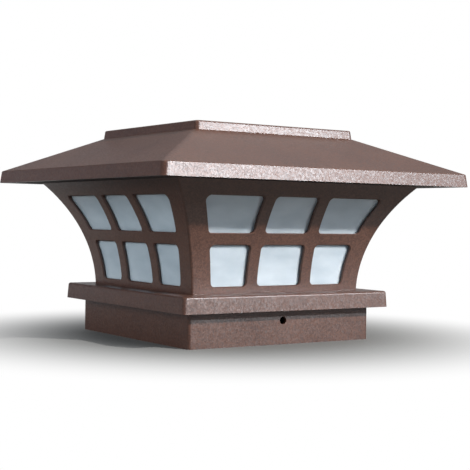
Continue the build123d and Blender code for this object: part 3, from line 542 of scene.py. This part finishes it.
def battery_sleeve():
    """Battery: drawn steel can in a shrunk green sleeve that leaves the middle of both ends bare."""
    # The sleeve is glossy with faint wrinkles, and the bare ends are plated.
    wrinkle_size = 9 * MM
    material, tree, shader, coords = start_material("shrink_sleeve_on_steel")
    across = add_node(
        tree, "ShaderNodeVectorMath", {0: coords, 1: (0, -BATTERY_Y, -BATTERY_Z)}, operation="ADD"
    ).outputs[0]
    across = add_node(
        tree, "ShaderNodeVectorMath", {0: across, 1: (0, 1, 1)}, operation="MULTIPLY"
    ).outputs[0]
    radius = add_node(
        tree, "ShaderNodeVectorMath", {0: across}, operation="LENGTH"
    ).outputs["Value"]
    bare = add_node(
        tree, "ShaderNodeMath", {0: radius, 1: BARE_END_RADIUS}, operation="LESS_THAN"
    ).outputs[0]
    clouds = add_node(
        tree, "ShaderNodeTexNoise", {"Vector": coords, "Scale": 1 / wrinkle_size, "Detail": 3.0}
    ).outputs[0]
    green = add_node(
        tree,
        "ShaderNodeMix",
        {0: clouds, COLOUR_A: (*linear("#2C7A45"), 1), COLOUR_B: (*linear("#348A50"), 1)},
        data_type="RGBA",
    ).outputs[COLOUR_RESULT]
    tone = add_node(
        tree,
        "ShaderNodeMix",
        {0: bare, COLOUR_A: green, COLOUR_B: (*linear("#B9BBBE"), 1)},
        data_type="RGBA",
    ).outputs[COLOUR_RESULT]
    wrinkles = add_node(
        tree, "ShaderNodeBump", {"Height": clouds, "Strength": 0.2, "Distance": 0.2 * MM}
    ).outputs[0]
    feed(
        tree,
        shader,
        {"Base Color": tone, "Metallic": bare, "Roughness": 0.27, "Normal": wrinkles},
    )
    return material


def lamp_chips(hardware):
    """Lamp chips: white moulded packages, each with a disc of yellow phosphor in clear gel."""
    # The packages are satin, and the gel over the phosphor is glossy.
    edge_spread = 0.05
    edge = hardware.phosphor_radius / LED_SPACING
    material, tree, shader, coords = start_material("phosphor_in_white_package")
    place = add_node(
        tree,
        "ShaderNodeVectorMath",
        {0: coords, 1: (1 / LED_SPACING,) * 3, 2: (0, -LAMP_Y / LED_SPACING, 0)},
        operation="MULTIPLY_ADD",
    ).outputs[0]
    within = add_node(tree, "ShaderNodeVectorMath", {0: place}, operation="FRACTION").outputs[0]
    offset = add_node(
        tree,
        "ShaderNodeVectorMath",
        {0: within, 1: (1, 1, 0), 2: (-0.5, -0.5, 0)},
        operation="MULTIPLY_ADD",
    ).outputs[0]
    radius = add_node(
        tree, "ShaderNodeVectorMath", {0: offset}, operation="LENGTH"
    ).outputs["Value"]
    disc = add_node(
        tree,
        "ShaderNodeMapRange",
        {
            "Value": radius,
            "From Min": edge * (1 + edge_spread),
            "From Max": edge * (1 - edge_spread),
        },
    ).outputs[0]
    tone = add_node(
        tree,
        "ShaderNodeMix",
        {0: disc, COLOUR_A: (*linear("#E4E3DD"), 1), COLOUR_B: (*linear("#E2C24A"), 1)},
        data_type="RGBA",
    ).outputs[COLOUR_RESULT]
    gloss = add_node(
        tree, "ShaderNodeMapRange", {"Value": disc, "To Min": 0.45, "To Max": 0.15}
    ).outputs[0]
    feed(tree, shader, {"Base Color": tone, "Roughness": gloss})
    return material


def solder_mask():
    """Circuit board: green solder mask printed over etched copper on glass-fibre laminate."""
    # The copper under the mask shows as paler paths.
    path_spacing = 5 * MM
    material, tree, shader, coords = start_material("green_solder_mask")
    paths = add_node(
        tree,
        "ShaderNodeTexVoronoi",
        {"Vector": coords, "Scale": 1 / path_spacing},
        feature="DISTANCE_TO_EDGE",
        distance="MANHATTAN",
    ).outputs["Distance"]
    copper = add_node(
        tree, "ShaderNodeMapRange", {"Value": paths, "From Min": 0.10, "From Max": 0.08}
    ).outputs[0]
    tone = add_node(
        tree,
        "ShaderNodeMix",
        {0: copper, COLOUR_A: (*linear("#17512F"), 1), COLOUR_B: (*linear("#2B7548"), 1)},
        data_type="RGBA",
    ).outputs[COLOUR_RESULT]
    raised = add_node(
        tree, "ShaderNodeBump", {"Height": copper, "Strength": 0.4, "Distance": 0.04 * MM}
    ).outputs[0]
    feed(tree, shader, {"Base Color": tone, "Roughness": 0.34, "Normal": raised})
    return material


@cache
def white_abs():
    """White ABS, moulded against a spark-eroded tool, so it is matt and very finely grained."""
    return grained(
        "moulded_white_abs",
        "#D6D6CE",
        "#E2E2DB",
        cloud_mm=30,
        grain_mm=0.8,
        depth_mm=0.03,
        roughness=0.46,
    )


@cache
def zinc_steel():
    """Cold-headed steel with bright zinc plating, a little cloudy."""
    return grained(
        "zinc_plated_steel",
        "#A5A8AD",
        "#C2C4C6",
        cloud_mm=4,
        grain_mm=0.5,
        depth_mm=0.01,
        roughness=0.3,
        Metallic=1.0,
    )


@cache
def black_moulding():
    """Black filled plastic, moulded with a faint flow pattern."""
    return grained(
        "black_moulded_plastic",
        "#18181A",
        "#242426",
        cloud_mm=5,
        grain_mm=0.5,
        depth_mm=0.02,
        roughness=0.5,
    )


def dress(node, material):
    """Give a CAD node a material in place of the one it was packed with."""
    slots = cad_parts[node].material_slots
    if not slots:
        raise RuntimeError(f"{node} has no material slot")
    for slot in slots:
        slot.link = "OBJECT"
        slot.material = material


def add_bar(shape, profile, reach):
    """Closed bar along X, reaching as far to both sides, with a profile of places along Y and Z."""
    ends = [[shape.verts.new((x, y, z)) for y, z in profile] for x in (-reach, reach)]
    for i in range(len(profile)):
        j = (i + 1) % len(profile)
        shape.faces.new((ends[0][i], ends[0][j], ends[1][j], ends[1][i]))
    for end in ends:
        shape.faces.new(end)


def new_piece(name, body, shape, material):
    """Mesh object from a filled bmesh, riding on a body, with its material."""
    mesh = bpy.data.meshes.new(name)
    bmesh.ops.recalc_face_normals(shape, faces=shape.faces)
    shape.to_mesh(mesh)
    shape.free()
    mesh.materials.append(material)
    piece = bpy.data.objects.new(name, mesh)
    bpy.context.scene.collection.objects.link(piece)
    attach(piece, body)
    return piece


class POSTLIGHT_OT_shell(bpy.types.Operator):
    """Coat the sleeve, plinth, lantern frame and roof, and give the soffit a dark painted shade"""

    bl_idname = "post_light.shell"
    bl_label = "Coated Shell"

    def execute(self, context):
        material = bronze_coat(context.scene.post_light.coat)
        for node in ("post_sleeve", "plinth", "lantern_frame", "roof_shell"):
            dress(node, material)
        # The soffit gets a matt brown of its own, darker than the coat: painted shade that stands in
        # for the shade under the eave
        painted_shade_finish = grained(
            "bronze_coat_mist",
            "#241812",
            "#2E2019",
            cloud_mm=25,
            grain_mm=0.8,
            depth_mm=0.05,
            roughness=0.75,
            Specular_IOR_Level=0.25,
        )
        dress("soffit_plate", painted_shade_finish)
        return {"FINISHED"}


class POSTLIGHT_OT_panes(bpy.types.Operator):
    """Frost the four panes"""

    bl_idname = "post_light.panes"
    bl_label = "Frosted Panes"

    def execute(self, context):
        material = frosted_acrylic(context.scene.post_light.panes)
        for side in ("front", "right", "back", "left"):
            dress(f"pane_{side}", material)
        return {"FINISHED"}


class POSTLIGHT_OT_solar_panel(bpy.types.Operator):
    """Finish the solar panel, and lay the ribbons that join its cells"""

    bl_idname = "post_light.solar_panel"
    bl_label = "Solar Panel"

    def execute(self, context):
        panel = context.scene.post_light.panel
        dress("solar_cells", silicon_wafer(panel))
        # Glass-fibre laminate with white mask: matt, with a trace of the weave
        laminate = grained(
            "white_laminate",
            "#D9DAD4",
            "#E4E5E0",
            cloud_mm=20,
            grain_mm=0.9,
            depth_mm=0.03,
            roughness=0.5,
        )
        dress("solar_backboard", laminate)
        # Rolled and tempered glass: clear, and wavy enough to soften what it mirrors
        glass = grained(
            "tempered_glass",
            "#EEF4F2",
            "#F6FAF9",
            cloud_mm=60,
            grain_mm=25,
            depth_mm=0.02,
            roughness=0.09,
            Transmission_Weight=1.0,
            IOR=GLASS_IOR,
        )
        dress("solar_glass", glass)
        # Silicone squeezed from a nozzle and wiped: black, with a dull sheen
        rubber = grained(
            "black_silicone",
            "#121213",
            "#1D1D1E",
            cloud_mm=8,
            grain_mm=1.2,
            depth_mm=0.06,
            roughness=0.55,
        )
        dress("panel_sealant", rubber)
        dress("panel_leads", wire_sleeve("panel_wire_sleeve", PANEL_LEADS_X))
        self.add_ribbons(panel)
        return {"FINISHED"}

    def add_ribbons(self, panel):
        """Flat tinned ribbons, with rounded edges, along every row of cells."""
        shape = bmesh.new()
        half = panel.ribbon_width / 2
        section = (
            (-half, 0.0),
            (-half * RIBBON_FLAT, RIBBON_THICKNESS),
            (half * RIBBON_FLAT, RIBBON_THICKNESS),
            (half, 0.0),
        )
        base = CELL_TOP_Z + RIBBON_LIFT
        step = (CELL_FIELD + CELL_GAP) / CELL_ROWS
        for row in range(CELL_ROWS):
            middle = (row - (CELL_ROWS - 1) / 2) * step
            for ribbon in range(panel.ribbons_per_row):
                y = middle + ((ribbon + 0.5) / panel.ribbons_per_row - 0.5) * (step - CELL_GAP)
                profile = [(y + across, base + up) for across, up in section]
                add_bar(shape, profile, CELL_FIELD / 2 - RIBBON_MARGIN)
        # Copper ribbon dipped in tin: bright, with soft streaks
        tin = grained(
            "tinned_ribbon",
            "#A9ACB0",
            "#C6C8CA",
            cloud_mm=6,
            grain_mm=0.7,
            depth_mm=0.01,
            roughness=0.28,
            Metallic=1.0,
        )
        new_piece("cell_ribbons", "roof", shape, tin)


class POSTLIGHT_OT_lamp(bpy.types.Operator):
    """Finish the tray, floor, board, chips and lens of the lamp"""

    bl_idname = "post_light.lamp"
    bl_label = "Lamp"

    def execute(self, context):
        dress("lamp_tray", white_abs())
        dress("floor_reflector", white_abs())
        dress("circuit_board", solder_mask())
        dress("board_components", black_moulding())
        dress("led_chips", lamp_chips(context.scene.post_light.hardware))
        # Acrylic moulded in a polished tool: clear, with a fine prism grain that spreads the light
        lens = grained(
            "clear_acrylic",
            "#F1F5F6",
            "#F8FAFA",
            cloud_mm=40,
            grain_mm=1.5,
            depth_mm=0.12,
            roughness=0.12,
            Transmission_Weight=1.0,
            IOR=ACRYLIC_IOR,
        )
        dress("led_lens", lens)
        return {"FINISHED"}


class POSTLIGHT_OT_battery(bpy.types.Operator):
    """Finish the battery, its contacts, leads, seal and door, and add the door's grip"""

    bl_idname = "post_light.battery"
    bl_label = "Battery"

    def execute(self, context):
        dress("battery_cell", battery_sleeve())
        # Spring steel, stamped and nickel plated: warm bright metal with faint rolling marks
        nickel = grained(
            "nickel_plated_spring",
            "#B5B0A6",
            "#CBC7BE",
            cloud_mm=6,
            grain_mm=0.6,
            depth_mm=0.01,
            roughness=0.22,
            Metallic=1.0,
        )
        dress("battery_contacts", nickel)
        dress("battery_leads", wire_sleeve("battery_wire_sleeve", BATTERY_LEADS_X))
        # Closed-cell foam rubber, cut from sheet: dull and slightly pitted
        foam = grained(
            "foam_rubber",
            "#1A1A1B",
            "#29292A",
            cloud_mm=6,
            grain_mm=0.7,
            depth_mm=0.15,
            roughness=0.75,
        )
        dress("bay_seal", foam)
        dress("battery_door", white_abs())
        dress("door_hinge_pin", zinc_steel())
        self.add_grip(context.scene.post_light.hardware)
        return {"FINISHED"}

    def add_grip(self, hardware):
        """Half-round ridges under the door's finger lip."""
        shape = bmesh.new()
        arc = [pi * i / (RIDGE_POINTS - 1) for i in range(RIDGE_POINTS)]
        for ridge in range(hardware.ridge_count):
            y = LIP_FRONT_Y + (ridge + 1) * RIDGE_PITCH
            profile = [
                (y + RIDGE_HALF_WIDTH * cos(a), LIP_BOTTOM_Z - hardware.ridge_height * sin(a))
                for a in arc
            ]
            add_bar(shape, profile, RIDGE_REACH)
        new_piece("door_grip", "door", shape, white_abs())


class POSTLIGHT_OT_switch(bpy.types.Operator):
    """Finish the slide switch"""

    bl_idname = "post_light.switch"
    bl_label = "Switch"

    def execute(self, context):
        dress("switch_body", black_moulding())
        dress("switch_slider", black_moulding())
        return {"FINISHED"}


class POSTLIGHT_OT_screws(bpy.types.Operator):
    """Put threaded cross-head screws in place of the plain ones"""

    bl_idname = "post_light.screws"
    bl_label = "Screws"

    def execute(self, context):
        hardware = context.scene.post_light.hardware
        dress("board_screws", zinc_steel())
        chance = random.Random(SCREW_SEED)
        for node, (body, offset, z, head, shank, reach, pitch) in SCREWS.items():
            shape = bmesh.new()
            for x in (-offset, offset):
                for y in (-offset, offset):
                    turn = chance.uniform(0, pi)
                    foot = Vector((x, y, z))
                    rim = self.add_screw(shape, foot, turn, head, shank, reach, pitch, hardware)
                    mouth = self.add_recess(shape, foot, turn, hardware)
                    self.fill_face(shape, rim, mouth)
            name = node.replace("screws", "screw_set")
            piece = new_piece(name, body, shape, zinc_steel())
            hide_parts(node)
        return {"FINISHED"}

    def add_screw(self, shape, foot, turn, head, shank, reach, pitch, hardware):
        """One countersunk screw that points up from its head, and the rim of the head's open face."""
        core = shank / 2 - hardware.thread_depth
        cone = (head - shank) / 2
        angles = [turn + 2 * pi * i / SCREW_SIDES for i in range(SCREW_SIDES)]

        def thread_radius(at, height):
            phase = (height / pitch - (at - turn) / (2 * pi)) % 1
            crest = max(0.0, 1 - 4 * abs(phase - 0.5))
            taper = min(1.0, (reach - height) / (2 * pitch))
            full = core + hardware.thread_depth * crest
            return full * (SCREW_POINT + (1 - SCREW_POINT) * taper)

        def add_ring(height, radii):
            return [
                shape.verts.new(foot + Vector((radius * cos(at), radius * sin(at), height)))
                for at, radius in zip(angles, radii)
            ]

        rings = [
            add_ring(0, [head / 2] * SCREW_SIDES),
            add_ring(SCREW_RIM, [head / 2] * SCREW_SIDES),
            add_ring(cone, [core] * SCREW_SIDES),
        ]
        steps = int((reach - cone) / pitch * STEPS_PER_TURN)
        for step in range(1, steps + 1):
            height = cone + (reach - cone) * step / steps
            rings.append(add_ring(height, [thread_radius(at, height) for at in angles]))
        for low, high in zip(rings, rings[1:]):
            for i in range(SCREW_SIDES):
                j = (i + 1) % SCREW_SIDES
                side = shape.faces.new((low[i], low[j], high[j], high[i]))
                side.smooth = low is not rings[0]
        shape.faces.new(rings[-1])
        return rings[0]

    def add_recess(self, shape, foot, turn, hardware):
        """Cross recess that narrows inwards, and its mouth in the head's face."""
        arm, half = hardware.recess_width / 2, hardware.recess_arm / 2
        outline = []
        for quarter in range(4):
            facing = Matrix.Rotation(turn + quarter * pi / 2, 3, "Z")
            corners = ((arm, -half, 0), (arm, half, 0), (half, half, 0))
            outline += [facing @ Vector(corner) for corner in corners]
        inwards = Vector((0, 0, hardware.recess_depth))
        mouth = [shape.verts.new(foot + p) for p in outline]
        bottom = [shape.verts.new(foot + p * RECESS_TAPER + inwards) for p in outline]
        for i in range(len(mouth)):
            j = (i + 1) % len(mouth)
            shape.faces.new((mouth[i], mouth[j], bottom[j], bottom[i]))
        shape.faces.new(bottom)
        return mouth

    def fill_face(self, shape, rim, mouth):
        """Flat face of the head, between its rim and the mouth of the recess."""
        edges = [
            shape.edges.get((loop[i - 1], loop[i])) for loop in (rim, mouth) for i in range(len(loop))
        ]
        bmesh.ops.triangle_fill(shape, use_beauty=True, edges=edges)


class POSTLIGHT_OT_stage(bpy.types.Operator):
    """Set up the camera, the soft light, the floor and the white background"""

    bl_idname = "post_light.stage"
    bl_label = "Stage"

    def execute(self, context):
        stage = context.scene.post_light.stage
        context.scene.view_settings.view_transform = "Standard"
        self.add_camera(context, stage)
        for name, (towards, distance, tint, glints) in SOFT_BOXES.items():
            data = bpy.data.lights.new(f"{name}_soft_box", "AREA")
            data.energy = getattr(stage, f"{name}_power")
            data.size = getattr(stage, f"{name}_size")
            data.color = tint
            self.place_soft_box(context, data, Vector(towards).normalized(), distance, glints)
        self.add_floor(context, stage)
        self.light_world(context, stage)
        return {"FINISHED"}

    def add_camera(self, context, stage):
        """Camera at the photograph's viewing angle."""
        yaw, pitch, roll = stage.camera_yaw, stage.camera_pitch, stage.camera_roll
        forward = Vector((sin(yaw) * cos(pitch), cos(yaw) * cos(pitch), sin(pitch)))
        right = Vector((cos(yaw), -sin(yaw), 0))
        down = forward.cross(right)
        rolled_right = cos(roll) * right + sin(roll) * down
        rolled_down = cos(roll) * down - sin(roll) * right
        data = bpy.data.cameras.new("camera")
        data.lens = stage.camera_lens
        data.clip_start = 10 * MM
        camera = bpy.data.objects.new("camera", data)
        axes = Matrix((rolled_right, -rolled_down, -forward)).transposed()
        camera.matrix_world = Matrix.Translation(stage.camera_location) @ axes.to_4x4()
        context.scene.collection.objects.link(camera)
        context.scene.camera = camera

    def place_soft_box(self, context, data, towards, distance, glints):
        """Stand a soft box in a direction, facing the post light, for plain light or glints alone."""
        box = bpy.data.objects.new(data.name, data)
        box.location = Vector(AIM) + distance * towards
        box.rotation_euler = towards.to_track_quat("Z", "Y").to_euler()
        box.visible_diffuse = not glints
        box.visible_glossy = box.visible_transmission = glints
        context.scene.collection.objects.link(box)

    def add_backdrop(self, tree, direction, stage):
        """Brightness of the studio in a direction: a white sweep ahead, and a dimmer room beside it."""
        ahead = (sin(stage.camera_yaw), cos(stage.camera_yaw), 0)
        facing = add_node(
            tree, "ShaderNodeVectorMath", {0: direction, 1: ahead}, operation="DOT_PRODUCT"
        ).outputs["Value"]
        return add_node(
            tree,
            "ShaderNodeMapRange",
            {
                "Value": facing,
                "From Min": SWEEP_EDGE[0],
                "From Max": SWEEP_EDGE[1],
                "To Min": stage.room,
                "To Max": 1.0,
            },
            interpolation_type="SMOOTHSTEP",
        ).outputs[0]

    def add_seen(self, tree):
        """One where a ray comes from the camera or from a mirroring or clear surface."""
        paths = add_node(tree, "ShaderNodeLightPath", {}).outputs
        seen = paths["Is Camera Ray"]
        for path in ("Is Glossy Ray", "Is Transmission Ray"):
            seen = add_node(
                tree, "ShaderNodeMath", {0: seen, 1: paths[path]}, operation="MAXIMUM"
            ).outputs[0]
        return seen

    def add_tint(self, tree, strength, stage):
        """Tint of the studio's light, cool where it is dim and white where it is bright."""
        return add_node(
            tree,
            "ShaderNodeMix",
            {0: strength, COLOUR_A: (*stage.fill_tint, 1), COLOUR_B: (1, 1, 1, 1)},
            data_type="RGBA",
        ).outputs[COLOUR_RESULT]

    def add_floor(self, context, stage):
        """Floor that keeps the shadow close by and runs into the white backdrop further out."""
        shape = bmesh.new()
        bmesh.ops.create_grid(shape, x_segments=8, y_segments=8, size=FLOOR_REACH)
        mesh = bpy.data.meshes.new("floor")
        shape.to_mesh(mesh)
        shape.free()
        floor = bpy.data.objects.new("floor", mesh)
        context.scene.collection.objects.link(floor)
        # Matt floor paint, rolled on
        material, tree, shader, coords = start_material("painted_floor")
        feed(tree, shader, {"Base Color": (*stage.floor, 1), "Roughness": 0.8})
        reach = add_node(
            tree, "ShaderNodeVectorMath", {0: coords}, operation="LENGTH"
        ).outputs["Value"]
        in_view = add_node(tree, "ShaderNodeLightPath", {}).outputs["Is Camera Ray"]
        start, end = (
            add_node(
                tree, "ShaderNodeMix", {0: in_view, NUMBER_A: mirrored, NUMBER_B: seen}
            ).outputs[0]
            for mirrored, seen in zip(FADE_IN_MIRRORS, FADE_IN_VIEW)
        )
        far = add_node(
            tree,
            "ShaderNodeMapRange",
            {"Value": reach, "From Min": start, "From Max": end},
            interpolation_type="SMOOTHSTEP",
        ).outputs[0]
        outwards = add_node(
            tree, "ShaderNodeVectorMath", {0: coords}, operation="NORMALIZE"
        ).outputs[0]
        backdrop = self.add_backdrop(tree, outwards, stage)
        away = add_node(
            tree,
            "ShaderNodeMapRange",
            {"Value": reach, "From Min": FLOOR_TO_WALL[0], "From Max": FLOOR_TO_WALL[1]},
        ).outputs[0]
        level = add_node(
            tree, "ShaderNodeMix", {0: away, NUMBER_A: 1.0, NUMBER_B: backdrop}
        ).outputs[0]
        tint = self.add_tint(tree, level, stage)
        white = add_node(
            tree, "ShaderNodeEmission", {"Color": tint, "Strength": level}
        ).outputs[0]
        amount = add_node(
            tree, "ShaderNodeMath", {0: self.add_seen(tree), 1: far}, operation="MULTIPLY"
        ).outputs[0]
        mixed = add_node(
            tree, "ShaderNodeMixShader", {0: amount, 1: shader.outputs[0], 2: white}
        ).outputs[0]
        feed(tree, tree.nodes["Material Output"], {"Surface": mixed})
        mesh.materials.append(material)

    def light_world(self, context, stage):
        """Even fill from all round, seen as the white backdrop and the room beside and above it."""
        world = bpy.data.worlds.new("studio")
        world.use_nodes = True
        context.scene.world = world
        tree = world.node_tree
        tree.nodes.clear()
        direction = add_node(tree, "ShaderNodeTexCoord", {}).outputs["Generated"]
        height = add_node(tree, "ShaderNodeSeparateXYZ", {0: direction}).outputs["Z"]
        level = self.add_backdrop(tree, direction, stage)
        for (low, high), shade in (
            (UPPER_WALL_EDGE, stage.upper_wall),
            (CEILING_EDGE, stage.ceiling),
        ):
            above = add_node(
                tree,
                "ShaderNodeMapRange",
                {"Value": height, "From Min": low, "From Max": high},
                interpolation_type="SMOOTHSTEP",
            ).outputs[0]
            level = add_node(
                tree, "ShaderNodeMix", {0: above, NUMBER_A: level, NUMBER_B: shade}
            ).outputs[0]
        strength = add_node(
            tree, "ShaderNodeMix", {0: self.add_seen(tree), NUMBER_A: stage.fill, NUMBER_B: level}
        ).outputs[0]
        tint = self.add_tint(tree, strength, stage)
        light = add_node(
            tree, "ShaderNodeBackground", {"Color": tint, "Strength": strength}
        ).outputs[0]
        add_node(tree, "ShaderNodeOutputWorld", {"Surface": light})


class POSTLIGHT_PT_sidebar(bpy.types.Panel):
    """Settings and build steps of the post light"""

    bl_label = "Solar Post Light"
    bl_idname = "POSTLIGHT_PT_sidebar"
    bl_space_type = "VIEW_3D"
    bl_region_type = "UI"
    bl_category = "Post Light"

    def draw(self, context):
        settings = context.scene.post_light
        for group in (
            settings.coat,
            settings.panes,
            settings.panel,
            settings.hardware,
            settings.stage,
        ):
            box = self.layout.box()
            for name in group.bl_rna.properties.keys():
                if name not in {"rna_type", "name"}:
                    box.prop(group, name)
        for step in BUILD_STEPS:
            self.layout.operator(step.bl_idname)


BUILD_STEPS = (
    POSTLIGHT_OT_shell,
    POSTLIGHT_OT_panes,
    POSTLIGHT_OT_solar_panel,
    POSTLIGHT_OT_lamp,
    POSTLIGHT_OT_battery,
    POSTLIGHT_OT_switch,
    POSTLIGHT_OT_screws,
    POSTLIGHT_OT_stage,
)
CLASSES = (
    CoatSettings,
    PaneSettings,
    PanelSettings,
    HardwareSettings,
    StageSettings,
    PostLightSettings,
    *BUILD_STEPS,
    POSTLIGHT_PT_sidebar,
)


def register():
    """Add the settings, operators and panel to Blender."""
    for cls in CLASSES:
        bpy.utils.register_class(cls)
    bpy.types.Scene.post_light = PointerProperty(type=PostLightSettings)


def unregister():
    """Take the settings, operators and panel out of Blender."""
    del bpy.types.Scene.post_light
    for cls in reversed(CLASSES):
        bpy.utils.unregister_class(cls)


def main():
    """Build the looks in order."""
    register()
    bpy.ops.post_light.shell()
    bpy.ops.post_light.panes()
    bpy.ops.post_light.solar_panel()
    bpy.ops.post_light.lamp()
    bpy.ops.post_light.battery()
    bpy.ops.post_light.switch()
    bpy.ops.post_light.screws()
    bpy.ops.post_light.stage()


if __name__ == "__main__":
    main()
